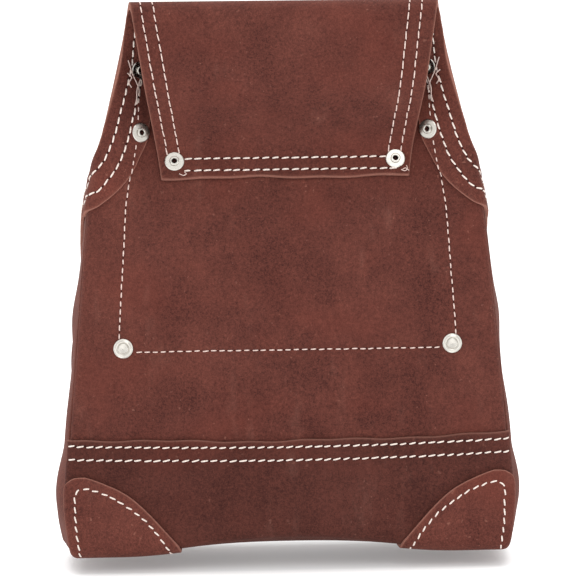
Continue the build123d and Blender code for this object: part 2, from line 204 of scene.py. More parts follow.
def back_middle(x, path):
    """Middle of the back leather: up the panel, round the fold, and down the loop to its sewn end."""
    turn = np.clip((path - FOLD_Z) / FOLD_RADIUS, 0, pi)
    down = 2 * FOLD_Z + FOLD_ARC - path
    z = np.where(path <= FOLD_Z, path, np.where(turn < pi, FOLD_Z + FOLD_RADIUS * np.sin(turn), down))
    sewn = panel_y(x, down) - PLY
    hanging = BACK_Y + LEATHER / 2 - 2 * FOLD_RADIUS - 1.2 * np.sin(pi * np.clip((down - 218) / 80, 0, 1))
    away = ramp(down, 217, 262)
    loop = sewn * (1 - away) + hanging * away
    fold = BACK_Y + LEATHER / 2 - FOLD_RADIUS * (1 - np.cos(turn))
    y = np.where(path <= FOLD_Z, panel_y(x, path), np.where(turn < pi, fold, loop))
    return np.stack(np.broadcast_arrays(x, y, z), axis=-1)


def turned(a, edge):
    """Across place, and push towards the gusset, of leather whose last few millimetres turn inwards."""
    past = np.abs(a) - (edge - 1 - TURN)
    turn = np.clip(past / TURN, 0, pi / 2)
    across = np.minimum(np.abs(a), edge - 1 - TURN) + TURN * np.sin(turn)
    return np.sign(a) * across, TURN * (1 - np.cos(turn)) + np.maximum(past - TURN * pi / 2, 0)


def back_leather(a, path):
    """Middle of the back leather with its sewn side edges turned in, below the mouth."""
    across, push = turned(a, half_on_path(path))
    sewn = 1 - ramp(path, 203, 232)
    grid = offset(back_middle, a + (across - a) * sewn, path, -push * sewn)
    rest = np.maximum(np.abs(a) - (half_on_path(path) - 1 - TURN) - TURN * pi / 2, 0)
    grid[..., 0] += np.sign(a) * gusset_bulge(grid[..., 1], grid[..., 2]) * ramp(rest, 0, 8) * sewn
    return grid


def pocket_row_x(z):
    """Across place of the pockets' side seam on the back panel: straight lines between four places."""
    return np.interp(z, (POCKET_SEAM_Z, 192, 230, 265), (91.9, 86.3, 81.4, 79.2))


def gusset_bulge(y, z):
    """How far a gusset stands out past the panels' edges: most near the foot, least at the mouth."""
    share = np.clip(np.abs(y) / 35, 0, 1)
    size = 5.0 + 4.6 * np.exp(-(((z - 26) / 22) ** 2)) - 2.2 * ramp(z, 120, 175)
    return size * (1 - share**2) ** 0.7


def front_y(x, z):
    """Outer face of the front panel: bellied between its edges, and slack towards its mouth."""
    share = np.clip(np.abs(x) / half_width(z), 0, 1)
    return FRONT_Y + 12 * (1 - share**2) ** 2 * ramp(z, 55, 168) + slack(x, z, 0.9) * (1 - share**4)


def mouth_z(y):
    """Height of the mouth along a gusset, from the same points as the mouth strips."""
    edge = np.array(MOUTH_EDGE[6:])
    past = edge[:, 0] + 1 + TURN - TURN * pi / 2
    return np.interp(y, BACK_Y + LEATHER / 2 + TURN + past, edge[:, 1])


def pocket_half(z):
    """Half width of the pockets at a height: straight from their foot to the large one's mouth."""
    up = (z - POCKET_FOOT_Z) / (POCKETS["large"][1] - POCKET_FOOT_Z)
    return POCKET_FOOT_HALF + (POCKET_TOP_HALF - POCKET_FOOT_HALF) * up


def pocket_middle(x, z, ply):
    """Middle of a tool pocket: flat at its sewn edges, and standing open between them."""
    across = ramp(pocket_half(z) - np.abs(x), 12, 41.5)
    opened = across * ramp(z, POCKET_SEAM_Z + 2, POCKET_SEAM_Z + 66)
    depth = 16 + (12 if ply == 2 else 0)
    y = panel_y(x, z) + PLY * ply + depth * opened
    return np.stack(np.broadcast_arrays(x, y, z), axis=-1)


# ---------------------------------------------------------------- meshes
def add_mesh(name, points, faces, attributes=()):
    """Mesh object from points in millimetres and quads or triangles, smooth shaded."""
    mesh = bpy.data.meshes.new(name)
    mesh.from_pydata((points * MM).tolist(), [], faces.tolist())
    mesh.polygons.foreach_set("use_smooth", np.ones(len(faces), bool))
    for key, values in attributes:
        layer = mesh.attributes.new(key, "FLOAT", "POINT")
        layer.data.foreach_set("value", np.asarray(values, np.float32).ravel())
    mesh.update()
    piece = bpy.data.objects.new(name, mesh)
    bpy.context.collection.objects.link(piece)
    return piece


def grid_faces(rows, columns, flip=False):
    """Quads of a grid of points, turned over by flip."""
    i, j = np.meshgrid(np.arange(rows - 1), np.arange(columns - 1), indexing="ij")
    first = i * columns + j
    quads = np.stack([first, first + 1, first + columns + 1, first + columns], axis=-1).reshape(-1, 4)
    return quads[:, ::-1] if flip else quads


def border(rows, columns):
    """Indices round the edge of a grid, once, in order."""
    index = np.arange(rows * columns).reshape(rows, columns)
    return np.r_[index[0, :-1], index[:-1, -1], index[-1, :0:-1], index[:0:-1, 0]]


def leather_sheet(name, middle, nodes, slot="leather", raw=1.0, finish=None):
    """Closed sheet of leather round a grid of middle points, with a rounded, slightly frayed raw edge.

    The faces stand half a thickness to each side along the grid's normals, and the rim is a cut edge
    with worn corners carried along the border. Attribute rim is 1 on the raw edge and fades within a
    millimetre. raw says where on the grid the edge is a cut one, and where it is sewn in and dark.
    """
    rows, columns = middle.shape[:2]
    normals = grid_normals(middle)
    half = LEATHER / 2
    raw = np.broadcast_to(raw, (rows, columns))
    top = (middle + normals * half).reshape(-1, 3)
    bottom = (middle - normals * half).reshape(-1, 3)
    ring = border(rows, columns)
    centre, normal = middle.reshape(-1, 3)[ring], normals.reshape(-1, 3)[ring]
    tangent = unit(np.roll(centre, -1, axis=0) - np.roll(centre, 1, axis=0))
    outward = unit(np.cross(normal, tangent))
    guess = centre - middle.reshape(-1, 3).mean(axis=0)
    along = np.arange(len(ring))
    if np.sum(outward * guess) < 0:
        outward = -outward
    rough = FRAY * (0.5 + 0.5 * np.sin(along * 1.9) * np.sin(along * 0.73 + 1) + 0.3 * np.sin(along * 3.7))
    rims = []
    for height, reach in ((0.86, 0.14), (0.4, 0.24), (-0.4, 0.24), (-0.86, 0.14)):
        rims.append(centre + normal * half * height + outward * (reach * (1 + rough))[:, None])
    size = rows * columns
    points = np.vstack([top, bottom, *rims])
    faces = [grid_faces(rows, columns), grid_faces(rows, columns, flip=True) + size]
    loops = [ring, *[2 * size + k * len(ring) + along for k in range(4)], size + ring]
    for upper, lower in zip(loops, loops[1:]):
        after = np.roll(np.arange(len(ring)), -1)
        faces.append(np.stack([upper, lower, lower[after], upper[after]], axis=-1))
    steps = np.linalg.norm(np.diff(middle, axis=1), axis=2)
    sideways = np.minimum(np.cumsum(np.c_[np.zeros(rows), steps], axis=1),
                          np.cumsum(np.c_[np.zeros(rows), steps[:, ::-1]], axis=1)[:, ::-1])
    steps = np.linalg.norm(np.diff(middle, axis=0), axis=2)
    upright = np.minimum(np.cumsum(np.vstack([np.zeros(columns), steps]), axis=0),
                         np.cumsum(np.vstack([np.zeros(columns), steps[::-1]]), axis=0)[::-1])
    edge = (np.exp(-np.minimum(sideways, upright) / 0.4) * raw).ravel() * 0.8
    rim = np.r_[edge, edge, np.tile(raw.ravel()[ring], 4)]
    piece = add_mesh(name, points, np.vstack(faces), [("rim", rim)])
    turn_outward(piece)
    piece.data.materials.append(MATERIALS[finish or slot])
    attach(piece, BODY)
    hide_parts(*nodes)


def turn_outward(piece):
    """Turns a closed mesh's faces outward if its signed volume is negative."""
    mesh = piece.data
    points = np.empty(len(mesh.vertices) * 3)
    mesh.vertices.foreach_get("co", points)
    points = points.reshape(-1, 3)
    mesh.calc_loop_triangles()
    triangles = np.empty(len(mesh.loop_triangles) * 3, int)
    mesh.loop_triangles.foreach_get("vertices", triangles)
    a, b, c = (points[triangles.reshape(-1, 3)[:, k]] for k in range(3))
    if np.sum(a * np.cross(b, c)) < 0:
        mesh.flip_normals()


# ---------------------------------------------------------------- shader maths
class Value:
    """A socket in a material's node tree, with the usual operators adding Math nodes."""

    def __init__(self, tree, socket):
        self.tree, self.socket = tree, socket

    def put(self, kind, settings=None, values=None, output=0):
        """Adds a node: its settings first, then the values or links of its sockets."""
        node = self.tree.nodes.new(kind)
        for key, value in (settings or {}).items():
            setattr(node, key, value)
        for key, value in (values or {}).items():
            if isinstance(value, Value):
                self.tree.links.new(value.socket, node.inputs[key])
            else:
                node.inputs[key].default_value = value
        return Value(self.tree, node.outputs[output])

    def maths(self, operation, *values):
        """Math node of an operation on values."""
        return self.put("ShaderNodeMath", {"operation": operation}, dict(enumerate(values)))

    def __add__(self, other):
        return self.maths("ADD", self, other)

    def __mul__(self, other):
        return self.maths("MULTIPLY", self, other)

    def __sub__(self, other):
        return self.maths("SUBTRACT", self, other)

    def __rsub__(self, other):
        return self.maths("SUBTRACT", other, self)

    def __pow__(self, other):
        return self.maths("POWER", self, other)

    __radd__, __rmul__ = __add__, __mul__

    def clamp(self):
        """The value kept between 0 and 1."""
        return self.put("ShaderNodeClamp", {}, {0: self})

    def step(self, low, high):
        """0 below low, 1 above high, smooth between."""
        settings = {"interpolation_type": "SMOOTHSTEP"}
        return self.put("ShaderNodeMapRange", settings, {"Value": self, "From Min": low, "From Max": high})

    def noise(self, scale, detail=3.0, rough=0.55, squeeze=(1, 1, 1)):
        """Noise of a scale per metre, with the coordinates squeezed along each axis."""
        place = self.put("ShaderNodeMapping", {}, {"Vector": self, "Scale": squeeze})
        values = {"Vector": place, "Scale": scale, "Detail": detail, "Roughness": rough}
        return self.put("ShaderNodeTexNoise", {}, values)

    def mix(self, low, high):
        """Colour between low and high by this factor."""
        low, high = (c if isinstance(c, Value) else (*c, 1) for c in (low, high))
        return self.put("ShaderNodeMix", {"data_type": "RGBA"}, {0: self, 6: low, 7: high}, output=2)


def material(name):
    """New material: its Principled shader, and its Object coordinates as a Value."""
    made = bpy.data.materials.new(name)
    made.use_nodes = True
    shader = made.node_tree.nodes["Principled BSDF"]
    start = Value(made.node_tree, None)
    place = start.put("ShaderNodeTexCoord", output=3)
    return made, shader, place


def link(shader, socket, value):
    """Feeds a value to one of the shader's sockets."""
    value.tree.links.new(value.socket, shader.inputs[socket])


def srgb(red, green, blue):
    """Linear colour from 0 to 255 display values."""
    c = np.array([red, green, blue]) / 255
    return tuple(float(v) for v in np.where(c <= 0.04045, c / 12.92, ((c + 0.055) / 1.055) ** 2.4))


def split_leather(name, shade, seed):
    """Oiled split leather: cloudy pull-up tones, short nap, light hairs and scuffs, paler cut edges."""
    made, shader, place = material(name)
    place = place.put("ShaderNodeMapping", {}, {"Vector": place, "Location": (seed, seed * 0.7, seed * 1.3)})
    clouds = place.noise(17, 4, 0.6)
    blotches = place.noise(62, 4, 0.65, (1, 1, 0.8))
    nap = place.noise(640, 3, 0.7)
    pores = place.noise(1500, 2, 0.7)
    tone = (clouds - 0.5) * 1.0 + (blotches - 0.5) * 1.1 + (nap - 0.5) * 1.9 + (pores - 0.5) * 2.0
    dark, light = (tuple(shade * c for c in srgb(*tint)) for tint in ((62, 27, 23), (129, 71, 59)))
    colour = (tone * 0.62 + 0.48).clamp().mix(dark, light)
    warm = place.noise(26, 2, 0.5, (0.7, 1, 1)).step(0.45, 0.75)
    colour = (warm * 0.3).mix(colour, tuple(shade * c for c in srgb(124, 60, 48)))
    rub = place.noise(41, 4, 0.65, (1.5, 1, 0.5)).step(0.56, 0.8)
    flecks = place.noise(420, 2, 0.5).step(0.66, 0.74) * place.noise(48, 3, 0.6).step(0.4, 0.68)
    hairs = place.noise(150, 5, 0.75, (3.2, 1, 0.35)).step(0.69, 0.76)
    pale = (rub * 0.2 + flecks * 0.5 + hairs * 0.25).clamp()
    colour = pale.mix(colour, tuple(shade * c for c in srgb(172, 116, 100)))
    rim = place.put("ShaderNodeAttribute", {"attribute_name": "rim"}, output=2)
    fibres = place.noise(1300, 3, 0.7)
    raw = (rim ** 1.3 * (0.25 + fibres * 1.1)).clamp()
    colour = raw.mix(colour, tuple(shade * c for c in srgb(168, 115, 100)))
    link(shader, "Base Color", colour)
    link(shader, "Roughness", (0.9 - rub * 0.1 - (clouds - 0.5) * 0.2).clamp())
    shader.inputs["Specular IOR Level"].default_value = 0.22
    shader.inputs["Sheen Weight"].default_value = 0.12
    shader.inputs["Sheen Roughness"].default_value = 0.5
    shader.inputs["Sheen Tint"].default_value = (*srgb(190, 140, 125), 1)
    height = nap * 0.8 + pores * 0.5 + blotches * 0.8 + fibres * rim * 1.2
    values = {"Height": height, "Strength": 0.7, "Distance": 0.0004}
    link(shader, "Normal", height.put("ShaderNodeBump", {}, values))
    return made


def nickel_plate(name):
    """Satin nickel: pale metal with fine scratches and a little grime."""
    made, shader, place = material(name)
    scratches = place.noise(900, 4, 0.7, (0.25, 1, 1))
    grime = place.noise(260, 4, 0.65).step(0.55, 0.8)
    colour = (grime * 0.55 + (scratches - 0.5) * 0.35).clamp().mix(srgb(205, 201, 193), srgb(118, 110, 101))
    link(shader, "Base Color", colour)
    shader.inputs["Metallic"].default_value = 1.0
    link(shader, "Roughness", (0.22 + scratches * 0.12 + grime * 0.15).clamp())
    values = {"Height": scratches, "Strength": 0.12, "Distance": 0.0001}
    link(shader, "Normal", scratches.put("ShaderNodeBump", {}, values))
    return made


def waxed_thread(name, light, dark):
    """Twisted waxed thread: twist drawn by the strand attribute, slightly soiled."""
    made, shader, place = material(name)
    strand = place.put("ShaderNodeAttribute", {"attribute_name": "strand"}, output=2)
    soil = place.noise(700, 3, 0.6)
    turns = strand * (2 * pi)
    twist = turns.maths("SINE", turns) * 0.5 + 0.5
    colour = (twist * 0.35 + (soil - 0.5) * 0.9).clamp().mix(light, dark)
    link(shader, "Base Color", colour)
    link(shader, "Roughness", (0.62 + soil * 0.2).clamp())
    shader.inputs["Sheen Weight"].default_value = 0.1
    values = {"Height": twist, "Strength": 0.6, "Distance": 0.00015}
    link(shader, "Normal", twist.put("ShaderNodeBump", {}, values))
    return made


def needle_hole_shade(name):
    """Painted shade: dark leather for the shade in the holes where the needle goes in, and in rivet bores."""
    made, shader, place = material(name)
    # painted shade: a dark colour stands in for the inside of a hole
    colour = place.noise(1200, 3, 0.6).mix(srgb(38, 20, 18), srgb(58, 31, 27))
    link(shader, "Base Color", colour)
    shader.inputs["Roughness"].default_value = 0.95
    shader.inputs["Specular IOR Level"].default_value = 0.1
    return made


MATERIALS = {
    "leather": split_leather("split_leather", 0.755, 0.0),
    "leather_trim": split_leather("split_leather_trim", 0.835, 3.1),
    "leather_wrap": split_leather("split_leather_wrap", 0.56, 5.3),
    "nickel": nickel_plate("nickel_plate"),
    "thread": waxed_thread("waxed_thread", srgb(243, 230, 220), srgb(206, 178, 166)),
    "bobbin": waxed_thread("bobbin_thread", srgb(232, 208, 198), srgb(190, 152, 140)),
    "hole": needle_hole_shade("needle_hole_shade"),
}


# ---------------------------------------------------------------- leather pieces
def widened(rows, half, spacing, places=()):
    """Grid whose rows have their own half width: the row of each point, and its across place."""
    widest = float(np.max(half))
    both = [side * place for place in places for side in (-1, 1)]
    share = stations(-widest, widest, spacing, both) / widest
    return rows[:, None] * np.ones_like(share), half[:, None] * share


def on_loop(z):
    """Path of a height on the belt loop."""
    return 2 * FOLD_Z + FOLD_ARC - z


def loop_row_drift(side, path):
    """How much further in the loop's right side rows were sewn, more so near the fold."""
    return np.where(np.asarray(side) > 0, 0.9 + 2.1 * (1 - ramp(path, FOLD_Z, on_loop(215.0))), 0.0)


def make_back_panel():
    """Back panel, fold and belt loop as one sheet: the back leather on a grid of path heights.

    Rows of stitches press furrows into it. The loop's raw end is softly wavy and curls outward.
    """
    rows = stations(PANEL_FOOT_Z, LOOP_END_PATH, 2.0, (POCKET_SEAM_Z, *map(on_loop, LOOP_END_ROWS)))
    path, x = widened(rows, half_on_path(rows), 2.3, (97.5, 104.5, 113))
    ragged = 0.45 * np.sin(x / 13) + 0.3 * np.sin(x / 5.1 + 1)
    path = path + ramp(path, LOOP_END_PATH - 9, LOOP_END_PATH) * ragged
    grid = back_leather(x, path)
    looped = path > FOLD_Z
    inset = half_on_path(path) - np.abs(x)
    inset = inset - loop_row_drift(np.sign(x), path)
    groove = sum(furrow(inset - row) for row in LOOP_SIDE_ROWS) * ramp(path, FOLD_Z, FOLD_Z + 9)
    ends = sum(furrow(path - on_loop(row)) for row in LOOP_END_ROWS)
    pocket = furrow(np.abs(x) - pocket_row_x(path), 0.2) * ramp(path, 112, 114)
    pocket = np.maximum(pocket, furrow(path - POCKET_SEAM_Z, 0.2) * ramp(92 - np.abs(x), 0, 1))
    curl = ramp(path, LOOP_END_PATH - 3.2, LOOP_END_PATH) * (0.5 + 0.25 * np.sin(x / 9))
    grid[..., 1] += np.where(looped, np.maximum(groove, ends) - curl, pocket)
    leather_sheet("back_panel", grid, ["back_panel"], raw=0.12 + 0.88 * ramp(path, 186, 206))


def mouth_place(side, along, inward):
    """Leather place and path height of a point of a mouth strip: the mouth's edge moved square inward."""
    line = curve_through(MOUTH_EDGE, 1.0)
    tangent = unit(np.gradient(line, axis=0))
    square = np.stack([-tangent[:, 1], tangent[:, 0]], axis=-1)
    square *= np.sign(-square[0, 0])
    index = np.arange(len(line))
    at = [np.interp(along, index, line[:, k]) for k in (0, 1)]
    step = [np.interp(along, index, square[:, k]) for k in (0, 1)]
    return side * (half_on_path(at[1]) + at[0] + step[0] * inward), at[1] + step[1] * inward


def mouth_surface(side):
    """Back leather in a mouth strip's own places: along the mouth's edge, and square inward from it."""
    return lambda along, inward: back_leather(*mouth_place(side, along, inward))


def make_mouth_strip(side, name):
    """Strip along the mouth: down inside the tunnel's edge, round the panel's edge, along the gusset.

    It is widest beside the belt and narrows where it turns onto the gusset.
    """
    rows = stations(0, MOUTH_LENGTH, 1.2)
    share = stations(0, STRIP_WIDE, 1.3, STRIP_ROWS) / STRIP_WIDE
    along = rows[:, None] * np.ones_like(share)
    width = STRIP_NARROW + (STRIP_WIDE - STRIP_NARROW) * (1 - ramp(along, 88, 125))
    inward = width * share + share**8 * (0.35 * np.sin(along / 6.0) + 0.25 * np.sin(along / 2.3))
    groove = sum(furrow(inward - row) for row in STRIP_ROWS)
    grid = offset(mouth_surface(side), along, inward, -side * (PLY + 0.05 - groove))
    nodes = [f"{name}_edge_strip", f"{name}_gusset_strip"]
    leather_sheet(f"{name}_mouth_strip", grid, nodes, slot="leather_trim")


def make_gusset(side, name):
    """Gusset between the panels, from its foot up to the scooped mouth.

    It stands out from the panels' edge by the bulge and by soft creases: crossed sines, and a hollow
    fold along its middle, all fading to nothing at both panels and at the mouth.
    """
    y = stations(BACK_Y + 3.75, FRONT_Y - 3.75, 2.0)
    up = stations(0, 190, 2.4) / 190
    yy, share = y[:, None] * np.ones_like(up), up[None, :] * np.ones_like(y)[:, None]
    z = GUSSET_FOOT_Z + (mouth_z(yy) - 0.6 - GUSSET_FOOT_Z) * share
    crease = 1.2 * np.sin(z / 16 + yy / 14) + 0.6 * np.sin(z / 7.5 - yy / 9 + 1)
    crease = crease - 2.4 * np.exp(-((yy / 8) ** 2)) * ramp(z, 30, 110)
    crease = crease * (1 - (yy / 37) ** 2) * (1 - ramp(z, 120, 165))
    x = half_width(z) - 1.0 + gusset_bulge(yy, z) + crease
    grid = np.stack([side * x, yy, z], axis=-1)
    leather_sheet(f"{name}_gusset", grid, [f"{name}_gusset"], raw=0.15)


def front_leather(a, z):
    """Middle of the front panel, half a thickness behind its face, with its side edges turned in."""
    across, push = turned(a, half_width(z))
    return np.stack([across, front_y(across, z) - LEATHER / 2 - push, z], axis=-1)


def make_front_panel():
    """Front panel: the front leather on a grid of heights, each row as wide as the panel there."""
    rows = stations(PANEL_FOOT_Z, FRONT_TOP_Z, 2.4)
    z, x = widened(rows, half_width(rows), 2.6)
    raw = 0.12 + 0.88 * ramp(z, FRONT_TOP_Z - 25, FRONT_TOP_Z)
    leather_sheet("front_panel", front_leather(x, z), ["front_panel"], raw=raw)


def make_front_mouth_strip():
    """Strip along the front's mouth: the front leather moved one ply outward, pressed in by two rows."""
    heights = [FRONT_TOP_Z - row for row in STRIP_ROWS]
    rows = stations(FRONT_TOP_Z - FRONT_STRIP, FRONT_TOP_Z, 1.2, heights)
    z, x = widened(rows, half_width(rows) - 0.5, 1.8)
    groove = sum(furrow(FRONT_TOP_Z - z - row) for row in STRIP_ROWS)
    low = ramp(FRONT_TOP_Z - z, FRONT_STRIP - 3, FRONT_STRIP) * 0.35 * np.sin(x / 7)
    grid = offset(front_leather, x, z + low, groove - PLY)
    leather_sheet("front_mouth_strip", grid, ["front_mouth_strip"], slot="leather_trim")


def pocket_surface(ply):
    """Middle of one of the tool pockets, in across places and heights."""
    return lambda x, z: pocket_middle(x, z, ply)


def make_pocket(ply, top, name):
    """Tool pocket: its middle on a grid of heights, each row as wide as the pockets there."""
    rows = stations(POCKET_FOOT_Z, top, 2.4)
    z, x = widened(rows, pocket_half(rows), 2.4)
    leather_sheet(name, pocket_middle(x, z, ply), [name])


def base_arch(x):
    """Rise of the sagging base between the corner patches, which stand flat."""
    return 6.8 * ramp(92 - np.abs(x), 0, 88)


def under_length(lift):
    """Length of the wrap's bends and floor, moved outward by lift."""
    return 2 * (PLY - BACK_Y - LEATHER / 2 - WRAP_BEND) + pi * (WRAP_BEND + lift)


def wrap_line(x, place, lift=0.0):
    """Middle of the base wrap: down the back, round the bend, across the floor and up the front.

    place is the height above the bend on the back wall, and below 0 the length under the pouch with
    its sign changed, and then the height above the bend on the front wall. lift moves it outward.
    """
    low = base_arch(x) + WRAP_FLOOR_Z - lift
    wall = -BACK_Y + PLY - LEATHER / 2 + lift
    radius = WRAP_BEND + lift
    flat = 2 * (wall - radius)
    under = np.clip(-place, 0, under_length(lift))
    first = np.clip(under / radius, 0, pi / 2)
    second = np.clip((under - flat - pi / 2 * radius) / radius, 0, pi / 2)
    y = -wall + radius * (1 - np.cos(first)) + np.clip(under - pi / 2 * radius, 0, flat)
    y = y + radius * np.sin(second)
    sag = base_arch(x) * 0.92 * (1 - np.clip(y / (wall - radius), -1, 1) ** 2) ** 0.8
    z = low + radius - radius * np.sin(first) + radius * (1 - np.cos(second)) - sag
    z = z + np.maximum(place, 0) + np.maximum(-under_length(lift) - place, 0)
    out = slack(x, z, 0.5) * ramp(z, 8, 30)
    y = y + np.where(y > 0, front_y(x, z) - FRONT_Y, out) * (np.abs(y) > wall - 0.01)
    return np.stack(np.broadcast_arrays(x, y, z), axis=-1)


def wrap_surface(lift):
    """Base wrap's surface, or a patch's on it, with the side edges turned in to the gussets."""
    def surface(a, place):
        flat = wrap_line(a, place, lift)
        across, push = turned(a, smooth_between(flat[..., 2], WRAP_EDGE) + lift * 0.25)
        return offset(lambda x, p: wrap_line(x, p, lift), across, place, -push)
    return surface


def wrap_place(x, z, front=False, lift=0.0):
    """Place on the wrap of a height, on the back or the front, on the wall or round the bend."""
    low, radius = base_arch(x) + WRAP_FLOOR_Z - lift, WRAP_BEND + lift
    above = z - low - radius
    back = np.where(above > 0, above, -np.arcsin(np.clip(-above / radius, 0, 1)) * radius)
    return -under_length(lift) - back if front else back


def wrap_top(x, front=False):
    """Height of the wrap's sagging, slightly uneven raw top edge."""
    shift = 2.2 if front else 0.0
    ragged = 0.4 * np.sin(x / 14 + shift) + 0.3 * np.sin(x / 4.7 + shift)
    return WRAP_TOP_Z - WRAP_SAG * (1 - (x / 122) ** 2) + ragged


def make_base_wrap():
    """Base wrap: one sheet from its raw edge on the back, under the pouch, to its raw edge on the front.

    Places on the walls are shares of the height at which the uneven raw edge runs, so that the rows
    follow the edge, and each row is as wide as the wrap at its height.
    """
    x0 = stations(-WRAP_HALF, WRAP_HALF, 2.4)
    rows = [WRAP_WALL - row for row in WRAP_ROWS]
    wall = stations(0, WRAP_WALL, 1.8, rows)[::-1, None] / WRAP_WALL
    under = -np.linspace(0, under_length(0.0), 50)[1:-1, None] * np.ones_like(x0)
    back = wrap_place(x0, wrap_top(x0)) * wall
    front = -under_length(0.0) - wrap_place(x0, wrap_top(x0, True)) * wall[::-1]
    place = np.vstack([back, under, front])
    x = x0 * np.ones_like(place)
    x = x * (smooth_between(wrap_line(x, place)[..., 2], WRAP_EDGE) / WRAP_HALF)
    z = wrap_line(x, place)[..., 2]
    groove = sum(furrow(wrap_top(x) - z - row) for row in WRAP_ROWS)
    grid = offset(wrap_surface(0.0), x, place, -groove)
    raw = 0.12 + 0.88 * ramp(z, 50, 57)
    leather_sheet("base_wrap", grid, ["base_wrap"], raw=raw, finish="leather_wrap")


def patch_inner_x(z):
    """Inner edge of a corner patch at a height, read off a smooth curve through the arc's points."""
    line = curve_through(PATCH_ARC, 1.0)
    return np.interp(z, line[:, 1], line[:, 0])


def patch_outer_x(z):
    """Outer edge of a corner patch, its top corner cut round."""
    round_off = 1 - np.sqrt(np.clip(1 - (np.clip(z - 36, 0, 8) / 8) ** 2, 0, 1))
    return smooth_between(z, WRAP_EDGE) + 0.3 - 8.0 * round_off


def make_corner_patch(side, name):
    """Saddle patch over a bottom corner: the wrap's surface moved outward by one ply.

    Each row runs straight across from the arc of its inner edge to its outer edge, which is cut round
    at the top.
    """
    wall = (1 - np.cos(pi * np.linspace(0, 1, 60))) / 2
    wall = (0.45 * wall + 0.55 * np.linspace(0, 1, 60))[::-1] * 36.4
    under = under_length(PLY)
    place = np.r_[wall, -np.linspace(0, under, 60)[1:-1], -under - wall[::-1]]
    z = np.maximum(wrap_line(100.0, place, PLY)[:, 2] - 1, 0)
    inner, outer = patch_inner_x(z), patch_outer_x(z)
    share = stations(0, 44, 1.3, (5.0,)) / 44
    x = side * (inner[:, None] + (outer - inner)[:, None] * share)
    place = place[:, None] * np.ones_like(x)
    grid = wrap_surface(PLY)(x, place)
    leather_sheet(f"{name}_corner_patch", grid, [f"{name}_corner_patch"], slot="leather_trim")


# ---------------------------------------------------------------- sewing
def thread_row(name, line, normal, kind, seed):
    """Row of separate stitches along a line on the leather, with a needle hole's painted shade in each gap.

    Each stitch is a round thread, thickest in the middle, that dips into the leather at both ends. It
    leans a little across the row, and each one differs slightly from the next.
    """
    pitch, dash, thick, lean, thread = kind
    rng = np.random.default_rng(seed + len(name) * 7)
    along = np.r_[0, np.cumsum(np.linalg.norm(np.diff(line, axis=0), axis=1))]
    count = max(1, int((along[-1] + pitch - dash) / pitch))
    start = (along[-1] - (count - 1) * pitch - dash) / 2 + np.arange(count) * pitch
    start = start + rng.normal(0, 0.12, count)
    long = dash * (1 + rng.normal(0, 0.05, count))
    t = np.linspace(0, 1, 8)
    s = start[:, None] + long[:, None] * t

    def along_row(values, s):
        """Points or directions of the row at lengths s along it."""
        return np.stack([np.interp(s, along, values[:, k]) for k in range(3)], axis=-1)

    tangent = unit(np.gradient(line, axis=0))
    up, forward = unit(along_row(normal, s)), unit(along_row(tangent, s))
    across = np.cross(up, forward)
    slant = np.tan(radians(lean) + rng.normal(0, 0.03, count))[:, None] * long[:, None] * (t - 0.5)
    slant = slant + rng.normal(0, 0.08, count)[:, None]
    rise = thick * (0.62 * np.sin(pi * t) ** 0.5 - 0.42)
    middle = along_row(line, s) + across * slant[..., None] + up * rise[:, None]
    radius = thick / 2 * (0.45 + 0.55 * np.sin(pi * t) ** 0.4)
    turn = np.arange(6) / 6 * 2 * pi - pi / 2
    ring = up[:, :, None] * np.sin(turn)[:, None] * 0.86 + across[:, :, None] * np.cos(turn)[:, None]
    points = middle[:, :, None] + ring * radius[:, None, None]
    one = [((k * 6 + m), (k * 6 + (m + 1) % 6), (k * 6 + 6 + (m + 1) % 6), (k * 6 + 6 + m))
           for k in range(7) for m in range(6)]
    one += [(3, 2, 1, 0), (5, 4, 3, 0), (42, 43, 44, 45), (42, 45, 46, 47)]
    faces = (np.arange(count)[:, None, None] * 48 + np.array(one)).reshape(-1, 4)
    strand = np.broadcast_to(t[:, None] * 2.6 * dash / 4 + np.arange(6) / 6, (count, 8, 6))
    piece = add_mesh(name, points.reshape(-1, 3), faces, [("strand", strand)])
    turn_outward(piece)
    piece.data.materials.append(MATERIALS[thread])
    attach(piece, BODY)
    # dark lenses between the stitches: painted shade of the needle holes
    pits(name.replace("stitches", "needle_holes"), along_row(line, start[1:] - (pitch - dash) / 2),
         up[1:, 0], forward[1:, 0], thick * 0.62, thick * 0.46)


def pits(name, centre, up, forward, long, wide):
    """Painted shade of small leather hollows: flat dark lenses, long along the row and wide across it."""
    turn = np.arange(10) / 10 * 2 * pi
    across = np.cross(up, forward)
    ring = forward[:, None] * np.cos(turn)[:, None] * long + across[:, None] * np.sin(turn)[:, None] * wide
    ends = [(centre + up * 0.08)[:, None], (centre - up * 0.5)[:, None]]
    points = np.concatenate([centre[:, None] + ring - up[:, None] * 0.05, *ends], axis=1)
    m, after = np.arange(10), np.roll(np.arange(10), -1)
    top, bottom = np.full(10, 10), np.full(10, 11)
    one = np.r_[np.stack([m, after, top], axis=-1), np.stack([after, m, bottom], axis=-1)]
    faces = (np.arange(len(centre))[:, None, None] * 12 + one).reshape(-1, 3)
    piece = add_mesh(name, points.reshape(-1, 3), faces)
    turn_outward(piece)
    piece.data.materials.append(MATERIALS["hole"])
    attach(piece, BODY)


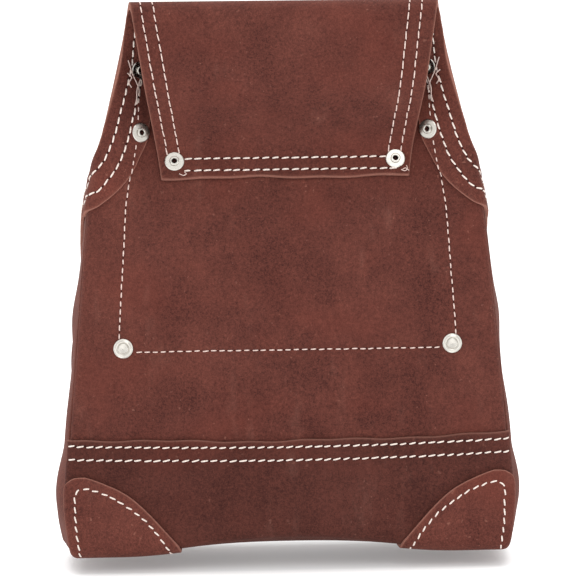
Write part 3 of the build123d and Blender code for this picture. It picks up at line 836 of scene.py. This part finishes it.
def loose_threads(name, lines, radius=0.32):
    """Thread ends left by the sewer: thin round tubes along smooth lines, closed at both ends."""
    points, faces, start = [], [], 0
    for line in lines:
        curve = curve_through(line, 0.6)
        forward = unit(np.gradient(curve, axis=0))
        across = unit(np.cross(forward, (0.3, 1.0, 0.2)))
        up = np.cross(across, forward)
        turn = np.arange(6) / 6 * 2 * pi
        ring = across[:, None] * np.cos(turn)[:, None] + up[:, None] * np.sin(turn)[:, None]
        points.append((curve[:, None] + ring * radius).reshape(-1, 3))
        k, m = np.meshgrid(np.arange(len(curve) - 1) * 6, np.arange(6), indexing="ij")
        after = (m + 1) % 6
        tube = np.stack([k + m, k + after, k + 6 + after, k + 6 + m], axis=-1).reshape(-1, 4)
        last = (len(curve) - 1) * 6
        caps = np.array([(3, 2, 1, 0), (5, 4, 3, 0), (0, 1, 2, 3), (0, 3, 4, 5)])
        caps = caps + [[0], [0], [last], [last]]
        faces.append(np.vstack([tube, caps]) + start)
        start += len(curve) * 6
    points = np.vstack(points)
    piece = add_mesh(name, points, np.vstack(faces), [("strand", np.arange(len(points)) / 6)])
    turn_outward(piece)
    piece.data.materials.append(MATERIALS["bobbin"])
    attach(piece, BODY)


def leave_thread_ends():
    """Tails beside the loop's end rivets and the doubled threads below the upper rivets."""
    def on(x, z, lift):
        """Point over the back panel's outer face."""
        return (x, BACK_Y + float(dent(x, z)) - lift, z)

    loose_threads("loop_thread_ends", [
        [on(62.6, 209.3, 4.6), on(64.6, 208.4, 5.1), on(66.0, 209.6, 5.4), on(65.6, 211.4, 5.2)],
        [on(63.4, 209.2, 4.6), on(65.0, 210.0, 5.5), on(66.9, 208.6, 5.7)],
        [on(-54.6, 209.2, 4.6), on(-53.4, 208.4, 5.1), on(-55.2, 207.6, 5.3), on(-57.4, 208.5, 4.9)],
    ], 0.24)
    for name, side in (("left", -1), ("right", 1)):
        loose_threads(f"{name}_doubled_threads", [
            [on(side * 83.6, 269.5, 3.5), on(side * 81.4, 262.0, 3.9), on(side * 78.6, 255.5, 4.1),
             on(side * 78.2, 250.4, 3.6)],
            [on(side * 77.4, 259.8, 3.5), on(side * 79.3, 254.0, 4.3), on(side * 79.6, 249.0, 4.1),
             on(side * 80.6, 245.5, 3.5)],
            [on(side * 84.2, 262.8, 3.5), on(side * 82.0, 260.5, 4.4), on(side * 83.4, 257.6, 4.5),
             on(side * 82.2, 255.2, 4.0)],
        ])


def paint_rivet_bore_shades():
    """Painted shade in open tubular rivets' bores: dark lenses square on the leather each goes through."""
    for name, (x, z) in (("loop", LOOP_RIVET), ("upper", UPPER_RIVET), ("mid", MID_RIVET)):
        x = np.array([-x, x])
        slope_x = (dent(x + 1, z) - dent(x - 1, z)) / 2
        slope_z = (dent(x, z + 1) - dent(x, z - 1)) / 2
        up = unit(np.stack([slope_x, -np.ones(2), slope_z], axis=-1))
        centre = np.stack([x, BACK_Y + dent(x, z), np.full(2, z)], axis=-1) + up * (PLY + 0.25)
        forward = unit(np.cross(up, np.array([1.0, 0.0, 0.0])))
        # painted shade: a dark lens in each bore, in place of a hole through the leather
        pits(f"{name}_rivet_bores", centre, up, forward, 1.32, 1.32)


# pitch, length of a stitch, thickness, lean in degrees, material
FAT = (5.3, 4.3, 1.0, 6.0, "thread")
SLANTED = (5.15, 4.2, 0.98, 10.0, "thread")
THIN = (4.5, 3.2, 0.78, 2.0, "bobbin")
LONG_THIN = (5.2, 4.5, 0.78, 3.0, "bobbin")
SEWN = []  # names of the rows sewn so far; their number seeds the next row's small irregularities


def sew(name, surface, u, v, side, kind, plies=0):
    """Stitches along a line of a surface given by its own two coordinates, on one face of it.

    side is +1 on the face the normal points to and -1 on the other; plies are sewn on top of it.
    """
    steps = max(len(np.atleast_1d(u)), len(np.atleast_1d(v)))
    u, v = np.broadcast_to(u, steps).astype(float), np.broadcast_to(v, steps).astype(float)
    outward = LEATHER / 2 + plies * PLY
    line = offset(surface, u, v, side * (outward - 0.12) * np.ones(steps))
    normal = unit(offset(surface, u, v, side * (outward + 1) * np.ones(steps)) - line)
    SEWN.append(name)
    thread_row(name, line, normal, kind, len(SEWN))


def sew_belt_side(side, name):
    """Rows on one side that show from the belt: the loop's side, the mouth, the pocket seam, the patch."""
    for number, inset in enumerate(LOOP_SIDE_ROWS, 1):
        path = np.linspace(FOLD_Z + 3, on_loop(218.0), 200)
        x = side * (half_on_path(path) - inset - loop_row_drift(side, path))
        sew(f"{name}_loop_side_stitches_{number}", back_leather, x, path, -1, LONG_THIN)
    for number, row in enumerate(STRIP_ROWS, 1):
        along = np.linspace(4, MOUTH_LENGTH - 3, 400)
        sew(f"{name}_mouth_stitches_{number}", mouth_surface(side), along, row, -side, FAT, plies=1)
    for number, (low, high, plies) in enumerate(POCKET_SEAM, 1):
        z = np.linspace(low, high, 120)
        x = side * pocket_row_x(z)
        sew(f"{name}_pocket_side_stitches_{number}", back_leather, x, z, 1, THIN, plies=plies)
    x, z = curve_through(PATCH_ROW, 0.5).T
    for number, front in enumerate((False, True), 1):
        place = wrap_place(x, z, front, PLY)
        sew(f"{name}_patch_stitches_{number}", wrap_surface(PLY), side * x, place, 1, SLANTED)


def sew_all():
    """Every visible row of stitches."""
    for number, (z, right_end) in enumerate(zip(LOOP_END_ROWS, (57.6, 62.6)), 1):
        x = np.linspace(-57.0, right_end, 200)
        sew(f"loop_end_stitches_{number}", back_leather, x, on_loop(z), -1, FAT)
    sew_belt_side(-1, "left")
    sew_belt_side(1, "right")
    x = np.linspace(-83.4, 83.4, 300)
    sew("pocket_foot_stitches", back_leather, x, POCKET_SEAM_Z, 1, THIN)
    x = np.linspace(-120.5, 120.5, 400)
    for number, row in enumerate(WRAP_ROWS, 1):
        for face, front in (("back", False), ("front", True)):
            place = wrap_place(x, wrap_top(0 * x) + WRAP_SAG * (x / 122) ** 2 - row, front)
            sew(f"{face}_wrap_stitches_{number}", wrap_surface(0.0), x, place, 1, SLANTED)
    outside, inside = np.linspace(-108.5, 108.5, 300), np.linspace(-106, 106, 300)
    for number, row in enumerate(STRIP_ROWS, 1):
        z = FRONT_TOP_Z - row
        sew(f"front_mouth_stitches_{number}", front_leather, outside, z, -1, FAT, plies=1)
        sew(f"front_mouth_inner_stitches_{number}", front_leather, inside, z, 1, THIN)
    for name, (ply, top) in POCKETS.items():
        x = np.linspace(-pocket_half(top) + 4, pocket_half(top) - 4, 200)
        sew(f"{name}_pocket_hem_stitches", pocket_surface(ply), x, top - 5, -1, THIN)


make_back_panel()
make_front_panel()
make_front_mouth_strip()
make_base_wrap()
for name, (ply, top) in POCKETS.items():
    make_pocket(ply, top, f"{name}_inner_pocket")
for name, side in (("left", -1), ("right", 1)):
    make_mouth_strip(side, name)
    make_gusset(side, name)
    make_corner_patch(side, name)
sew_all()
leave_thread_ends()
paint_rivet_bore_shades()

for node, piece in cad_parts.items():
    if "rivet" in node:
        piece.data.materials.clear()
        piece.data.materials.append(MATERIALS["nickel"])


# ---------------------------------------------------------------- studio
def make_studio():
    """Pale floor that curves up behind, a bright even sky, three soft lights and the camera.

    The floor has a painted shadow under the pouch: darker by its distance from a rectangle inside the base.
    """
    scene = bpy.context.scene
    sweep = np.array([(-3.0, 0.0), (2.2, 0.0), (3.0, 0.12), (3.5, 0.6), (3.6, 3.0)])
    line = curve_through(sweep, 0.05)
    width = np.array([-4.0, 4.0])
    grid = np.stack(np.broadcast_arrays(width[None, :], line[:, :1], line[:, 1:]), axis=-1)
    floor = add_mesh("studio_floor", grid.reshape(-1, 3) / MM, grid_faces(len(line), 2, flip=True))
    made, shader, place = material("pale_paper_painted_shadow")
    past = place.put("ShaderNodeVectorMath", {"operation": "ABSOLUTE"}, {0: place})
    past = past.put("ShaderNodeVectorMath", {"operation": "SUBTRACT"}, {0: past, 1: (0.112, 0.038, 0)})
    past = past.put("ShaderNodeVectorMath", {"operation": "MAXIMUM"}, {0: past, 1: (0, 0, 0)})
    clear = past.put("ShaderNodeVectorMath", {"operation": "LENGTH"}, {0: past}, output=1)
    # painted shadow: the floor's colour and glow are darkened right under the pouch
    outside_painted_shadow = clear.step(-0.002, 0.016)
    link(shader, "Base Color", outside_painted_shadow.mix((0.4, 0.4, 0.4), (0.93, 0.93, 0.93)))
    link(shader, "Emission Color", outside_painted_shadow.mix((0.25, 0.25, 0.25), (1, 1, 1)))
    shader.inputs["Roughness"].default_value = 0.9
    shader.inputs["Emission Strength"].default_value = 0.34
    floor.data.materials.append(made)

    world = bpy.data.worlds.new("studio_air")
    world.use_nodes = True
    world.node_tree.nodes["Background"].inputs["Color"].default_value = (1, 1, 1, 1)
    world.node_tree.nodes["Background"].inputs["Strength"].default_value = 1.0
    scene.world = world

    for name, place, size, power in (
        ("key_light", (0.5, -1.5, 1.7), 1.0, 6),
        ("fill_light", (-1.2, -1.3, 0.9), 1.4, 1),
        ("top_light", (0.0, 0.25, 1.9), 1.6, 16),
    ):
        lamp = bpy.data.lights.new(name, "AREA")
        lamp.size, lamp.energy = size, power
        light = bpy.data.objects.new(name, lamp)
        light.location = place
        light.rotation_euler = (Vector((0, 0, 0.14)) - Vector(place)).to_track_quat("-Z", "Y").to_euler()
        scene.collection.objects.link(light)

    lens, sensor, frame_width = 120.0, 36.0, 0.31375
    distance = frame_width * lens / sensor
    aim, azimuth, tilt = Vector((0.0014, BACK_Y * MM, 0.1449)), radians(2.0), radians(3.5)
    away = Vector((-np.sin(azimuth) * np.cos(tilt), -np.cos(azimuth) * np.cos(tilt), np.sin(tilt)))
    camera = bpy.data.objects.new("camera", bpy.data.cameras.new("camera"))
    camera.data.lens, camera.data.sensor_width = lens, sensor
    camera.location = aim + away * distance
    turn = (-away).to_track_quat("-Z", "Y").to_euler()
    turn.rotate_axis("Z", radians(-0.8))
    camera.rotation_euler = turn
    scene.collection.objects.link(camera)
    scene.camera = camera
    scene.view_settings.view_transform = "Standard"


make_studio()
